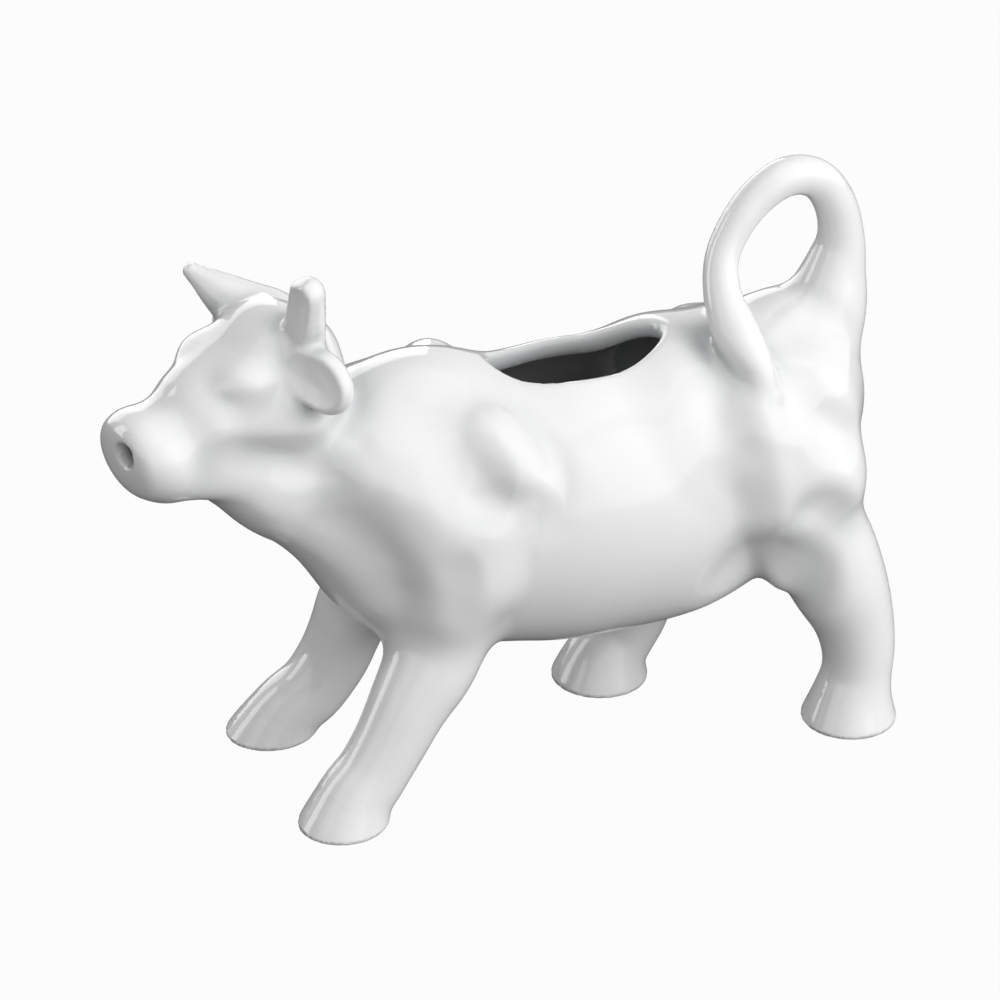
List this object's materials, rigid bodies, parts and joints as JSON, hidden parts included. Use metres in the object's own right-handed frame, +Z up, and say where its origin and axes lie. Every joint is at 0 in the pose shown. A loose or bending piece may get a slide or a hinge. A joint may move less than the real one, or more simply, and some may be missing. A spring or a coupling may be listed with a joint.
{
  "type": "cow creamer",
  "caption": "Standing cow in glazed white porcelain, used as a cream jug: filled through the oval opening in its back, poured from the hole in its muzzle and held by its curled tail.",
  "frame": {"origin": "middle of the bounding box, on the plane that the four soles stand on", "axes": "+Z up, the head points along -X, the cow's left side faces -Y"},
  "size_m": [0.163, 0.0564, 0.1201],
  "materials": {
    "porcelain_glaze": "glossy white glaze"
  },
  "bodies": {
    "root": {"trunk_shell": "porcelain_glaze", "head_shell": "porcelain_glaze", "front_left_leg": "porcelain_glaze", "front_right_leg": "porcelain_glaze", "hind_left_leg": "porcelain_glaze", "hind_right_leg": "porcelain_glaze", "left_horn": "porcelain_glaze", "right_horn": "porcelain_glaze", "left_ear": "porcelain_glaze", "right_ear": "porcelain_glaze", "tail_handle": "porcelain_glaze"}
  },
  "joints": []
}
